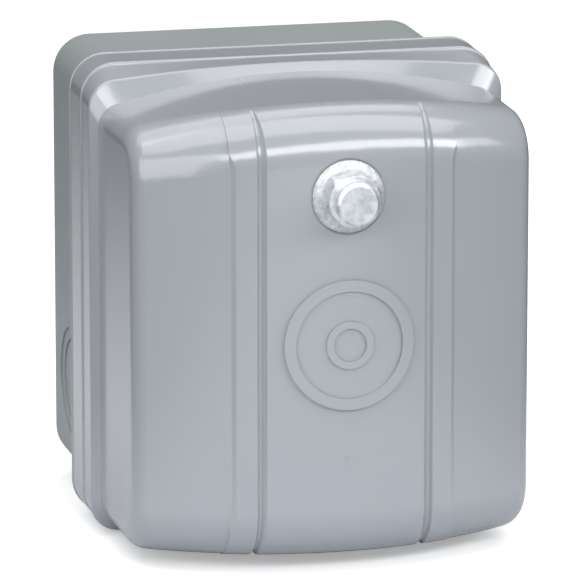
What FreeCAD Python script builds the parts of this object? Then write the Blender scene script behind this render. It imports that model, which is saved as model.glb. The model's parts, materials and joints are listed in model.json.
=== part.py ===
import FreeCAD
import Part
import math
import os
from FreeCAD import Vector

# Magnetic motor starter in a two-part enclosure. All lengths are millimetres.
# Frame: origin at the centre of the enclosure's rear mounting face, +X to the right seen from
# the front, -Y towards the front, +Z up. Depths are written as "f", the distance forward.

# ---- base housing ----
BASE_HALF_W = 49.7
BASE_HALF_H = 56.95
BASE_CORNER_R = 9.5
BASE_DEPTH = 54.5
BASE_FLOOR = 3.0
WALL = 2.5
MOUNT_X = 41.0
MOUNT_Z = 47.0
MOUNT_HOLE_R = 2.75
MOUNT_COUNTERBORE_R = 5.2

# ---- conduit knockouts in the side walls ----
KNOCKOUT_F = 21.4
KNOCKOUT_Z = -30.9
KNOCKOUT_R = 14.1
KNOCKOUT_INNER_R = 11.1

# ---- cover ----
SKIRT_START = 42.9
SKIRT_END = 56.4
SKIRT_HALF_W = 54.0
SKIRT_HALF_H = 60.0
SKIRT_CORNER_R = 9.0
BEAD_H = 0.25
BEAD_W = 1.1
LIP_END = 65.0
LIP_HALF_W = 53.67
LIP_BOTTOM = -59.65
LIP_TOP = 59.7
LIP_ARCH_R = 440.0
LIP_ROOT_ARCH_R = 9000.0
LIP_ROOT_CORNER_R = 8.6
LIP_CORNER_R = 7.0
BAND_END = 67.0
BAND_BURY = 1.2
DOME_HALF_W_ROOT = 51.6
DOME_HALF_W_FRONT = 50.9
DOME_BOTTOM = -57.1
DOME_TOP = 57.6
DOME_ARCH_R = 187.0
DOME_CORNER_R = 8.0
FACE_F = 118.4
FACE_R = 94.0
FACE_EDGE_R_TOP = 13.5
FACE_EDGE_R_SIDE = 6.0
EDGE_ROUND = 0.8
STRIP_LIFT = 0.6
STRIP_HALF_W = 27.9
STRIP_SLOPE = 0.85
GROOVE_X = 21.4
GROOVE_HALF_W = 1.15
GROOVE_DEPTH = 1.0
GROOVE_FLOOR_HALF_W = 0.35
GROOVE_FADE = 1.25
COVER_LEDGE_F = 56.5
COVER_OPEN_HALF_W = 46.8
COVER_OPEN_HALF_H = 53.9
BADGE_X = 0.3
BADGE_Z = -1.0
BADGE_R = 16.4
BADGE_RIM = 2.8

# ---- cover fastener ----
NUT_Z = 36.3
STUD_R = 3.95
STUD_END_F = 127.6
SEAT_F = 118.4
WASHER_R = 9.1
NUT_BACK_F = 120.0
NUT_HEX_END_F = 125.4
NUT_END_F = 129.7
NUT_AF = 12.7
NUT_CROWN_R = 5.45
NUT_BORE_R = 4.0

# ---- inner plate and contactor ----
PLATE_F = 6.0
PLATE_T = 1.5
UNIT_BACK = 7.5
UNIT_HALF_W = 30.0
CON_Z0 = -22.0
CON_Z1 = 26.0
MID_Z = 2.0
LOWER_END = 38.0
UPPER_END = 66.0
ARC_END = 76.0
POLE_X = (-21.0, -7.0, 7.0, 21.0)
POWER_X = (-21.0, -7.0, 7.0)
SHELF_F = 48.05
STRIP_T = 1.5
TIP_T = 1.2
TIP_R = 1.9
LINE_TIP_Z = 14.0
LOAD_TIP_Z = -10.0
LINE_SCREW_Z = 20.8
LOAD_SCREW_Z = -16.8
SCREW_R = 1.65
HEAD_R = 2.9
CORE_BACK = 9.7
CORE_YOKE = 7.0
CORE_FACE = 32.0
ARMATURE_FACE = 37.2
ARMATURE_BACK = 43.0
ARMATURE_END = 49.0
CARRIER_END = 66.0
BRIDGE_F = 57.0

# ---- overload relay ----
OL_Z0 = -53.0
OL_Z1 = -26.0
OL_END = 60.0
OL_COVER_T = 3.0
OL_COVER_Z0 = -47.0
OL_CAVITY_Z0 = -43.6
OL_CAVITY_Z1 = -28.2
OL_SHELF_F = 44.0
OL_SCREW_Z = -50.0
BIMETAL_Z = -37.0
TRIP_PIVOT_X = 17.0
TRIP_PIVOT_F = 40.0
RESET_X = 21.0
RESET_Z = -31.5
TEST_X = 21.0
TEST_Z = -41.0
DIAL_X = -12.0
DIAL_Z = -36.0

# ---- screws that hold units to the inner plate ----
PLATE_SCREWS = ((-34.5, 20.0), (34.5, 20.0), (-34.5, -37.0), (34.5, -37.0))
UNIT_SCREWS = ((-24.0, -15.0), (24.0, 19.0), (-14.0, -37.0), (14.0, -31.5))
UNIT_SCREW_R = 1.7
GROUND_X = -42.5
GROUND_Z = 6.0


def box(x0, x1, f0, f1, z0, z1):
    return Part.makeBox(x1 - x0, f1 - f0, z1 - z0, Vector(x0, -f1, z0))


def rod_f(x, z, r, f0, f1):
    return Part.makeCylinder(r, f1 - f0, Vector(x, -f0, z), Vector(0, -1, 0))


def cone_f(x, z, r0, r1, f0, f1):
    return Part.makeCone(r0, r1, f1 - f0, Vector(x, -f0, z), Vector(0, -1, 0))


def rod_x(f, z, r, x0, x1):
    return Part.makeCylinder(r, x1 - x0, Vector(x0, -f, z), Vector(1, 0, 0))


def rod_z(x, f, r, z0, z1):
    return Part.makeCylinder(r, z1 - z0, Vector(x, -f, z0), Vector(0, 0, 1))


def join(shapes):
    return shapes[0].fuse(shapes[1:]).removeSplitter()


def group(shapes):
    return Part.makeCompound(shapes)


def mirror_x(shape):
    return shape.mirror(Vector(0, 0, 0), Vector(1, 0, 0))


def forward_edges(shape):
    return [e for e in shape.Edges if e.BoundBox.XLength < 0.01 and e.BoundBox.ZLength < 0.01]


def rounded_box(half_w, half_h, corner_r, f0, f1):
    block = box(-half_w, half_w, f0, f1, -half_h, half_h)
    return block.makeFillet(corner_r, forward_edges(block))


def hex_f(x, z, across_flats, f0, f1, turn=0.0):
    radius = across_flats / math.sqrt(3.0)
    points = []
    for i in range(7):
        a = math.radians(60.0 * i + turn)
        points.append(Vector(x + radius * math.cos(a), -f0, z + radius * math.sin(a)))
    return Part.Face(Part.makePolygon(points)).extrude(Vector(0, f0 - f1, 0))


def slotted_head(x, z, r, f0, f1, slot_w=0.9, turn=0.0):
    head = rod_f(x, z, r, f0, f1)
    rim = [e for e in head.Edges if abs(e.BoundBox.YMin + f1) < 0.01 and e.BoundBox.YLength < 0.01]
    head = head.makeFillet(0.22 * (f1 - f0), rim)
    slot = box(-r, r, f1 - 0.45 * (f1 - f0), f1 + 0.1, -slot_w / 2, slot_w / 2)
    slot.rotate(Vector(0, 0, 0), Vector(0, 1, 0), turn)
    slot.translate(Vector(x, 0, z))
    return head.cut(slot)


def screw(x, z, head_r, f_head, head_h, shank_r, f_tip, turn=0.0):
    head = slotted_head(x, z, head_r, f_head, f_head + head_h, turn=turn)
    return join([head, rod_f(x, z, shank_r, f_tip, f_head)])


# ---------------------------------------------------------------- enclosure


def base_housing():
    shell = rounded_box(BASE_HALF_W, BASE_HALF_H, BASE_CORNER_R, 0, BASE_DEPTH)
    back = [e for e in shell.Edges if abs(e.BoundBox.YMax) < 0.01 and e.BoundBox.YLength < 0.01]
    shell = shell.makeFillet(1.2, back)
    inner_r = BASE_CORNER_R - WALL
    room = rounded_box(BASE_HALF_W - WALL, BASE_HALF_H - WALL, inner_r, BASE_FLOOR, BASE_DEPTH + 1)
    shell = shell.cut(room)
    added = [rod_f(0, NUT_Z, 7.2, BASE_FLOOR, 22)]
    added.append(rod_f(GROUND_X, GROUND_Z, 4.0, BASE_FLOOR, 8))
    for x, z in PLATE_SCREWS:
        added.append(rod_f(x, z, 3.6, BASE_FLOOR, PLATE_F))
    for sx in (-1, 1):
        for sz in (-1, 1):
            added.append(rod_f(sx * MOUNT_X, sz * MOUNT_Z, MOUNT_COUNTERBORE_R, BASE_FLOOR, 4.5))
    shell = join([shell] + added)
    holes = [rod_f(0, NUT_Z, STUD_R, BASE_FLOOR, 23)]
    holes.append(rod_f(GROUND_X, GROUND_Z, 1.9, BASE_FLOOR, 9))
    for x, z in PLATE_SCREWS:
        holes.append(rod_f(x, z, UNIT_SCREW_R, BASE_FLOOR - 1.5, PLATE_F + 1))
    for sx in (-1, 1):
        holes.append(rod_x(KNOCKOUT_F, KNOCKOUT_Z, KNOCKOUT_R, sx * 48.5 - 2, sx * 48.5 + 2))
        for sz in (-1, 1):
            holes.append(rod_f(sx * MOUNT_X, sz * MOUNT_Z, MOUNT_HOLE_R, -1, 6))
    return shell.cut(holes)


def knockout_plug():
    ring_x = BASE_HALF_W - 0.45
    disc_x = BASE_HALF_W - 0.8
    inside = BASE_HALF_W - WALL + 0.4
    ring = rod_x(KNOCKOUT_F, KNOCKOUT_Z, KNOCKOUT_R, inside, ring_x)
    ring = ring.cut(rod_x(KNOCKOUT_F, KNOCKOUT_Z, KNOCKOUT_INNER_R, inside - 1, ring_x + 1))
    disc_r = KNOCKOUT_INNER_R - 0.25
    disc = rod_x(KNOCKOUT_F, KNOCKOUT_Z, disc_r, inside, disc_x)
    tabs = []
    for s in (-1, 1):
        f = KNOCKOUT_F + s * (KNOCKOUT_INNER_R - 0.1)
        tabs.append(box(inside, disc_x, f - 0.4, f + 0.4, KNOCKOUT_Z - 1.2, KNOCKOUT_Z + 1.2))
    ring = join([ring] + tabs).cut(disc)
    return group([ring, disc])


def cover_outline(half_w, z_bottom, z_top, arch_r, corner_r, f):
    """Closed wire: flat bottom, straight sides, gently arched top, rounded corners."""
    arch_z = z_top - arch_r
    cx = half_w - corner_r
    top_cz = arch_z + math.sqrt((arch_r - corner_r) ** 2 - cx ** 2)
    bot_cz = z_bottom + corner_r
    scale = arch_r / (arch_r - corner_r)
    touch_x = cx * scale
    touch_z = arch_z + (top_cz - arch_z) * scale
    lean = math.atan2(cx, top_cz - arch_z)
    mid = (lean + math.pi / 2) / 2
    half = corner_r * math.sqrt(0.5)

    def at(x, z):
        return Vector(x, -f, z)

    mid_x = cx + corner_r * math.sin(mid)
    mid_z = top_cz + corner_r * math.cos(mid)
    edges = [Part.makeLine(at(-cx, z_bottom), at(cx, z_bottom))]
    edges.append(Part.Arc(at(cx, z_bottom), at(cx + half, bot_cz - half), at(half_w, bot_cz)).toShape())
    edges.append(Part.makeLine(at(half_w, bot_cz), at(half_w, top_cz)))
    edges.append(Part.Arc(at(half_w, top_cz), at(mid_x, mid_z), at(touch_x, touch_z)).toShape())
    edges.append(Part.Arc(at(touch_x, touch_z), at(0, z_top), at(-touch_x, touch_z)).toShape())
    edges.append(Part.Arc(at(-touch_x, touch_z), at(-mid_x, mid_z), at(-half_w, top_cz)).toShape())
    edges.append(Part.makeLine(at(-half_w, top_cz), at(-half_w, bot_cz)))
    edges.append(Part.Arc(at(-half_w, bot_cz), at(-cx - half, bot_cz - half), at(-cx, z_bottom)).toShape())
    return Part.Wire(edges)


def side_half_width(f):
    slope = (DOME_HALF_W_FRONT - DOME_HALF_W_ROOT) / (101.0 - BAND_END)
    return DOME_HALF_W_ROOT + slope * (f - BAND_END)


def dome(inset=0.0, lift=0.0, root_f=LIP_END):
    """Solid of the domed front: arched top, bulged face, rounded rim. inset makes an inner copy."""
    w = 53.0
    top = DOME_TOP - inset
    arch_r = DOME_ARCH_R - inset
    bottom = DOME_BOTTOM + inset
    face = FACE_F - inset + lift
    face_r = FACE_R - inset + lift
    z_side = top - arch_r + math.sqrt(arch_r ** 2 - w ** 2)

    def front(x, z):
        return Vector(x, -root_f, z)

    sides = [Part.makeLine(front(-w, bottom), front(w, bottom))]
    sides.append(Part.makeLine(front(w, bottom), front(w, z_side)))
    sides.append(Part.Arc(front(w, z_side), front(0, top), front(-w, z_side)).toShape())
    sides.append(Part.makeLine(front(-w, z_side), front(-w, bottom)))
    prism = Part.Face(Part.Wire(sides)).extrude(Vector(0, -70, 0))

    root_w = side_half_width(root_f) - inset
    edge_w = side_half_width(104.0) - inset
    edge_f = face - face_r + math.sqrt(face_r ** 2 - edge_w ** 2)

    def plan(x, f):
        return Vector(x, -f, -80)

    sides = [Part.makeLine(plan(-root_w, root_f), plan(root_w, root_f))]
    sides.append(Part.makeLine(plan(root_w, root_f), plan(edge_w, edge_f)))
    sides.append(Part.Arc(plan(edge_w, edge_f), plan(0, face), plan(-edge_w, edge_f)).toShape())
    sides.append(Part.makeLine(plan(-edge_w, edge_f), plan(-root_w, root_f)))
    body = prism.common(Part.Face(Part.Wire(sides)).extrude(Vector(0, 0, 160)))

    across = [e for e in body.Edges if e.BoundBox.XLength > 90 and -e.BoundBox.YMin > face - 1]
    body = body.makeFillet(FACE_EDGE_R_TOP - 0.8 * inset, across)
    chain = []
    for e in body.Edges:
        b = e.BoundBox
        on_side = b.XLength < 1.5 and abs(b.Center.x) > edge_w - 0.5
        if on_side and -b.YMin > root_f + 1:
            chain.append(e)
    return body.makeFillet(FACE_EDGE_R_SIDE - 0.8 * inset, chain)


def strip_prism():
    """Plan-shaped block whose sloping flanks give the raised centre strip its soft side steps."""
    f_edge = FACE_F - FACE_R + math.sqrt(FACE_R ** 2 - STRIP_HALF_W ** 2)
    wide = STRIP_HALF_W + STRIP_SLOPE
    narrow = STRIP_HALF_W - STRIP_SLOPE
    low = f_edge - 0.5
    high = f_edge + 1.1
    outline = [(-wide, 55), (-wide, low), (-narrow, high), (-narrow, 140)]
    outline += [(-x, f) for x, f in reversed(outline)]
    outline.append(outline[0])
    wire = Part.makePolygon([Vector(x, -f, -80) for x, f in outline])
    return Part.Face(wire).extrude(Vector(0, 0, 160))


def groove_tool(x):
    """V groove that deepens over the top rounding, runs down the face and leaves at the bottom."""
    face = FACE_F + STRIP_LIFT - FACE_R + math.sqrt(FACE_R ** 2 - x ** 2)
    top_c = DOME_TOP - DOME_ARCH_R + math.sqrt(DOME_ARCH_R ** 2 - x ** 2) - FACE_EDGE_R_TOP
    low_c = DOME_BOTTOM + FACE_EDGE_R_TOP
    start_r = FACE_EDGE_R_TOP + GROOVE_FADE

    def on_arc(z_c, degrees, r):
        a = math.radians(degrees)
        return Vector(x, -(face - r + r * math.cos(a)), z_c + r * math.sin(a))

    r = FACE_EDGE_R_TOP
    start = [on_arc(top_c, 88, start_r), on_arc(top_c, 40, start_r), on_arc(top_c, 0, start_r)]
    finish = [on_arc(low_c, 0, r), on_arc(low_c, -45, r), on_arc(low_c, -90, r)]
    path = [Part.Arc(*start).toShape(), Part.makeLine(start[2], finish[0])]
    path.append(Part.Arc(*finish).toShape())
    path.append(Part.makeLine(finish[2], finish[2] + Vector(0, 8, 0)))
    flare = (GROOVE_HALF_W - GROOVE_FLOOR_HALF_W) / GROOVE_DEPTH
    over = GROOVE_HALF_W + flare
    floor = GROOVE_FLOOR_HALF_W
    out = Vector(0, -math.cos(math.radians(88)), math.sin(math.radians(88)))
    corners = ((-over, 1), (over, 1), (floor, -GROOVE_DEPTH), (-floor, -GROOVE_DEPTH), (-over, 1))
    section = Part.makePolygon([start[0] + Vector(u, 0, 0) + out * v for u, v in corners])
    return Part.Wire(path).makePipeShell([section], True, False)


def rounded_front_edges(shape, f, r):
    rim = [e for e in shape.Edges if abs(e.BoundBox.YMin + f) < 0.01 and e.BoundBox.YLength < 0.01]
    return shape.makeFillet(r, rim)


def cover_shell():
    skirt = rounded_box(SKIRT_HALF_W, SKIRT_HALF_H, SKIRT_CORNER_R, SKIRT_START, SKIRT_END)
    skirt = rounded_front_edges(skirt, SKIRT_END, EDGE_ROUND)
    bead_args = (SKIRT_HALF_W + BEAD_H, SKIRT_HALF_H + BEAD_H, SKIRT_CORNER_R + BEAD_H)
    bead = rounded_box(*bead_args, SKIRT_START, SKIRT_START + BEAD_W)
    for f in (SKIRT_START, SKIRT_START + BEAD_W):
        bead = rounded_front_edges(bead, f, 0.45)
    lip_args = (LIP_HALF_W, LIP_BOTTOM, LIP_TOP, LIP_ARCH_R, LIP_CORNER_R)
    root_args = (LIP_HALF_W, LIP_BOTTOM, LIP_TOP, LIP_ROOT_ARCH_R, LIP_ROOT_CORNER_R)
    root_wire = cover_outline(*root_args, SKIRT_END - 1.0)
    lip_wire = cover_outline(*lip_args, LIP_END)
    lip = Part.makeLoft([root_wire, lip_wire], True, True)
    deeper = (BAND_END + BAND_BURY - LIP_END) / (BAND_END - LIP_END)
    dome_args = (side_half_width(BAND_END), DOME_BOTTOM, DOME_TOP)
    end_args = [a + deeper * (b - a) for a, b in zip(lip_args, dome_args)]
    end_wire = cover_outline(*end_args, DOME_ARCH_R, DOME_CORNER_R, BAND_END + BAND_BURY)
    band = Part.makeLoft([lip_wire, end_wire], True, True)
    collar = rounded_front_edges(join([lip, band]), LIP_END, EDGE_ROUND)
    prism = strip_prism()
    flanks = dome(root_f=LIP_END - 4).cut(prism)
    strip = dome(lift=STRIP_LIFT, root_f=LIP_END - 4).common(prism)
    outer = join([skirt, bead, collar, flanks, strip])
    outer = outer.cut([groove_tool(-GROOVE_X), groove_tool(GROOVE_X)])
    low_room = rounded_box(SKIRT_HALF_W - 2.5, SKIRT_HALF_H - 2.5, 6.6, SKIRT_START - 1, COVER_LEDGE_F)
    opening = rounded_box(COVER_OPEN_HALF_W, COVER_OPEN_HALF_H, 6, COVER_LEDGE_F - 1, COVER_LEDGE_F + 4)
    room = dome(inset=WALL, root_f=COVER_LEDGE_F + 3)
    outer = outer.cut([low_room, opening, room])
    boss = rod_f(0, NUT_Z, 8.0, 111.5, SEAT_F - 0.2)
    dot = rod_f(0, -30, 0.65, FACE_F - 1, FACE_F + STRIP_LIFT + 0.25)
    outer = join([outer, boss, dot])
    seat = rod_f(0, NUT_Z, WASHER_R + 0.5, SEAT_F, 130)
    return outer.cut([seat, rod_f(0, NUT_Z, 4.6, 100, 130)])


def badge_plaque():
    face = dome(lift=STRIP_LIFT)
    rim = dome(lift=STRIP_LIFT + 1.1).cut(face)
    field = dome(lift=STRIP_LIFT + 0.45).cut(face)
    ring = rod_f(BADGE_X, BADGE_Z, BADGE_R, 100, 130)
    ring = ring.cut(rod_f(BADGE_X, BADGE_Z, BADGE_R - BADGE_RIM, 99, 131))
    middle = rod_f(BADGE_X, BADGE_Z, 6.0, 100, 130).cut(rod_f(BADGE_X, BADGE_Z, 4.2, 99, 131))
    plate = rod_f(BADGE_X, BADGE_Z, BADGE_R - BADGE_RIM + 0.5, 100, 130)
    return join([rim.common(ring), field.common(plate), rim.common(middle)])


def cover_gasket():
    outer = rounded_box(BASE_HALF_W - 0.2, BASE_HALF_H - 0.2, BASE_CORNER_R - 0.2, BASE_DEPTH, COVER_LEDGE_F)
    inner = rounded_box(47.4, 54.65, 7.2, BASE_DEPTH - 1, COVER_LEDGE_F + 1)
    return outer.cut(inner)


def nut_washer():
    rim = rod_f(0, NUT_Z, WASHER_R, SEAT_F, SEAT_F + 0.6)
    cone = cone_f(0, NUT_Z, WASHER_R, 7.4, SEAT_F + 0.6, NUT_BACK_F)
    return join([rim, cone]).cut(rod_f(0, NUT_Z, 4.3, SEAT_F - 1, NUT_BACK_F + 1))


def cover_nut():
    hexagon = hex_f(0, NUT_Z, NUT_AF, NUT_BACK_F, NUT_HEX_END_F, 12.0)
    trim = cone_f(0, NUT_Z, 9.2, 6.4, NUT_BACK_F, NUT_HEX_END_F)
    crown = rod_f(0, NUT_Z, NUT_CROWN_R, NUT_HEX_END_F - 1, NUT_END_F - 0.8)
    bevel = cone_f(0, NUT_Z, NUT_CROWN_R, NUT_CROWN_R - 0.8, NUT_END_F - 0.8, NUT_END_F)
    body = join([hexagon.common(trim), crown, bevel])
    return body.cut(rod_f(0, NUT_Z, NUT_BORE_R, NUT_BACK_F - 1, STUD_END_F + 0.4))


def cover_stud():
    shaft = rod_f(0, NUT_Z, STUD_R, BASE_FLOOR, STUD_END_F - 1)
    return join([shaft, cone_f(0, NUT_Z, STUD_R, STUD_R - 0.8, STUD_END_F - 1, STUD_END_F)])


def stud_locknut():
    return hex_f(0, NUT_Z, NUT_AF, 22, 28.5).cut(rod_f(0, NUT_Z, STUD_R, 21, 30))


def mounting_plate():
    plate = box(-38, 38, PLATE_F, PLATE_F + PLATE_T, -42, 27)
    plate = plate.makeFillet(3.0, forward_edges(plate))
    places = PLATE_SCREWS + UNIT_SCREWS
    return plate.cut([rod_f(x, z, UNIT_SCREW_R, PLATE_F - 1, PLATE_F + PLATE_T + 1) for x, z in places])


def plate_screws():
    top = PLATE_F + PLATE_T
    screws = []
    for i, (x, z) in enumerate(PLATE_SCREWS):
        screws.append(screw(x, z, 3.2, top, 2.2, UNIT_SCREW_R, 2.0, 15 * i))
    return group(screws)


def unit_screws():
    screws = []
    for i, (x, z) in enumerate(UNIT_SCREWS):
        screws.append(screw(x, z, 3.0, CORE_BACK, 2.2, UNIT_SCREW_R, 4.5, 20 * i))
    return group(screws)


def ground_screw():
    return screw(GROUND_X, GROUND_Z, 3.7, 8, 2.4, 1.9, BASE_FLOOR, 30)


# ---------------------------------------------------------------- contactor


def contactor_lower_housing():
    w = UNIT_HALF_W
    shell = box(-w, w, UNIT_BACK, LOWER_END, CON_Z0, CON_Z1)
    shell = shell.makeFillet(1.5, forward_edges(shell))
    shell = shell.cut(box(-w + 2.2, w - 2.2, CORE_BACK, LOWER_END + 1, CON_Z0 + 2.2, CON_Z1 - 2.2))
    return shell.cut([rod_f(x, z, UNIT_SCREW_R, 5, 11) for x, z in UNIT_SCREWS[:2]])


def contactor_upper_housing():
    w = UNIT_HALF_W
    body = box(-w, w, LOWER_END, UPPER_END, CON_Z0, CON_Z1)
    body = body.makeFillet(1.5, forward_edges(body))
    cuts = [box(-27, 27, LOWER_END - 1, UPPER_END + 1, MID_Z - 8.5, MID_Z + 8.5)]
    for x in POLE_X:
        cuts.append(box(x - 5.8, x + 5.8, SHELF_F, UPPER_END + 1, CON_Z0 - 1, CON_Z1 + 1))
        for z in (LINE_SCREW_Z, LOAD_SCREW_Z):
            cuts.append(rod_f(x, z, SCREW_R, 41.5, SHELF_F + 1))
    return body.cut(cuts)


def contactor_arc_cover():
    w = UNIT_HALF_W
    z0 = -13.0
    z1 = 17.0
    body = box(-w, w, UPPER_END, ARC_END, z0, z1)
    rim = [e for e in body.Edges if abs(e.BoundBox.YMin + ARC_END) < 0.01 and e.BoundBox.YLength < 0.01]
    body = body.makeFillet(1.2, rim)
    cuts = [box(-5, 5, UPPER_END - 1, ARC_END + 1, -1, 5)]
    for x in POLE_X:
        cuts.append(box(x - 5.6, x + 5.6, UPPER_END - 1, ARC_END - 2.5, z0 + 2, z1 - 2))
    cuts.append(box(-20, 20, UPPER_END - 1, ARC_END - 2.5, -3.5, 7.5))
    for z in (-5.0, 9.0):
        for x in (-14.0, 14.0):
            cuts.append(rod_f(x, z, 1.3, UPPER_END - 1, ARC_END + 1))
    return body.cut(cuts)


def arc_cover_screws():
    parts = []
    for z in (-5.0, 9.0):
        for x in (-14.0, 14.0):
            parts.append(screw(x, z, 2.3, ARC_END, 1.6, 1.3, UPPER_END, 25))
    return group(parts)


def magnet_core():
    z0 = MID_Z - 7
    z1 = MID_Z + 7
    parts = [box(-20, 20, CORE_BACK, CORE_BACK + CORE_YOKE, z0, z1)]
    for x0, x1 in ((-20, -14), (-6, 6), (14, 20)):
        parts.append(box(x0, x1, CORE_BACK + CORE_YOKE - 1, CORE_FACE, z0, z1))
    body = join(parts)
    slot = box(16.5, 17.5, CORE_FACE - 1.5, CORE_FACE + 1, z0 - 1, z1 + 1)
    return body.cut([slot, mirror_x(slot)])


def shading_rings():
    z0 = MID_Z - 7
    z1 = MID_Z + 7
    ring = box(16.5, 21, CORE_FACE - 1.5, CORE_FACE - 0.3, z0 - 1, z1 + 1)
    ring = ring.cut(box(17.5, 20, CORE_FACE - 2, CORE_FACE, z0, z1))
    return group([ring, mirror_x(ring)])


def coil_bobbin():
    tube = box(-7.6, 7.6, 17, 30.8, MID_Z - 8.6, MID_Z + 8.6)
    back = box(-13.6, 13.6, 17, 18.2, MID_Z - 15, MID_Z + 15)
    front = box(-13.6, 13.6, 29.6, 30.8, MID_Z - 15, MID_Z + 15)
    return join([tube, back, front]).cut(box(-6.2, 6.2, 16, 32, MID_Z - 7.2, MID_Z + 7.2))


def coil_winding():
    coil = box(-12.8, 12.8, 18.2, 29.6, MID_Z - 14, MID_Z + 14)
    coil = coil.makeFillet(4.0, forward_edges(coil))
    return coil.cut(box(-7.6, 7.6, 17, 31, MID_Z - 8.6, MID_Z + 8.6))


def coil_terminals():
    foot = box(8.5, 13, 30.8, 31.6, -12.6, -9)
    blade = box(9, 12.5, 31.6, 37.4, -12.6, -11.8)
    tab = join([foot, blade])
    return group([tab, mirror_x(tab)])


def return_springs():
    parts = []
    for x in (-10.0, 10.0):
        tube = rod_f(x, MID_Z, 2.9, 30.8, ARMATURE_BACK)
        parts.append(tube.cut(rod_f(x, MID_Z, 2.3, 30, ARMATURE_BACK + 1)))
    return group(parts)


def armature():
    z0 = MID_Z - 7
    z1 = MID_Z + 7
    parts = [box(-20, 20, ARMATURE_BACK, ARMATURE_END, z0, z1)]
    for x0, x1, f in ((-20, -14, ARMATURE_FACE), (-6, 6, ARMATURE_FACE + 0.2), (14, 20, ARMATURE_FACE)):
        parts.append(box(x0, x1, f, ARMATURE_BACK + 1, z0, z1))
    return join(parts)


def contact_carrier():
    bar = box(-26.5, 26.5, 54, CARRIER_END, MID_Z - 4.5, MID_Z + 4.5)
    saddle = box(-12, 12, ARMATURE_END, 54.5, MID_Z - 3.5, MID_Z + 3.5)
    flag = box(-4, 4, CARRIER_END - 1, 78.5, MID_Z - 2, MID_Z + 2)
    windows = [box(x - 3.7, x + 3.7, BRIDGE_F, 63.6, -10, 14) for x in POLE_X]
    return join([bar, saddle, flag]).cut(windows)


def moving_bridges():
    parts = []
    for x in POLE_X:
        bar = box(x - 3, x + 3, BRIDGE_F, BRIDGE_F + STRIP_T, MID_Z - 14, MID_Z + 14)
        ends = [e for e in bar.Edges if e.BoundBox.XLength < 0.01 and e.BoundBox.ZLength < 0.01]
        parts.append(bar.makeFillet(1.2, ends))
    return group(parts)


def moving_tips():
    parts = []
    for x in POLE_X:
        for z in (LINE_TIP_Z, LOAD_TIP_Z):
            parts.append(rod_f(x, z, TIP_R, BRIDGE_F - TIP_T, BRIDGE_F))
    return group(parts)


def contact_springs():
    parts = []
    for x in POLE_X:
        tube = rod_f(x, MID_Z, 2.4, BRIDGE_F + STRIP_T, 63.6)
        parts.append(tube.cut(rod_f(x, MID_Z, 1.9, BRIDGE_F, 64)))
    return group(parts)


def line_strips():
    parts = []
    for x in POLE_X:
        bar = box(x - 3, x + 3, SHELF_F, SHELF_F + STRIP_T, 11.5, CON_Z1 - 0.5)
        parts.append(bar.cut(rod_f(x, LINE_SCREW_Z, SCREW_R, 40, 55)))
    return group(parts)


def load_strips():
    parts = []
    for x in POLE_X:
        bar = box(x - 3, x + 3, SHELF_F, SHELF_F + STRIP_T, CON_Z0 + 0.5, -7.5)
        parts.append(bar.cut(rod_f(x, LOAD_SCREW_Z, SCREW_R, 40, 55)))
    return group(parts)


def fixed_tips():
    parts = []
    for x in POLE_X:
        for z in (LINE_TIP_Z, LOAD_TIP_Z):
            parts.append(rod_f(x, z, TIP_R, SHELF_F + STRIP_T, SHELF_F + STRIP_T + TIP_T))
    return group(parts)


def bus_links():
    parts = []
    for x in POWER_X:
        bar = box(x - 2.6, x + 2.6, SHELF_F + STRIP_T, SHELF_F + STRIP_T + TIP_T, -33, -13.2)
        parts.append(bar.cut(rod_f(x, LOAD_SCREW_Z, SCREW_R, 40, 55)))
    return group(parts)


def clamp_stations():
    """Position (x, z) and seat depth of each contactor terminal clamp."""
    seat = SHELF_F + STRIP_T
    stations = [(x, LINE_SCREW_Z, seat) for x in POLE_X]
    for x in POLE_X:
        stations.append((x, LOAD_SCREW_Z, seat + TIP_T if x in POWER_X else seat))
    return stations


def terminal_clamps():
    parts = []
    for x, z, f in clamp_stations():
        plate = box(x - 4.2, x + 4.2, f, f + 1.3, z - 3.2, z + 3.2)
        parts.append(plate.cut(rod_f(x, z, SCREW_R, 40, 60)))
    for x in POWER_X:
        f = OL_SHELF_F + STRIP_T
        plate = box(x - 4.2, x + 4.2, f, f + 1.3, OL_SCREW_Z - 2.7, OL_SCREW_Z + 2.7)
        parts.append(plate.cut(rod_f(x, OL_SCREW_Z, SCREW_R, 40, 60)))
    return group(parts)


def terminal_screws():
    parts = []
    for i, (x, z, f) in enumerate(clamp_stations()):
        parts.append(screw(x, z, HEAD_R, f + 1.3, 2.3, SCREW_R, 43, 23 * i))
    return group(parts)


# ---------------------------------------------------------------- overload relay


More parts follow.
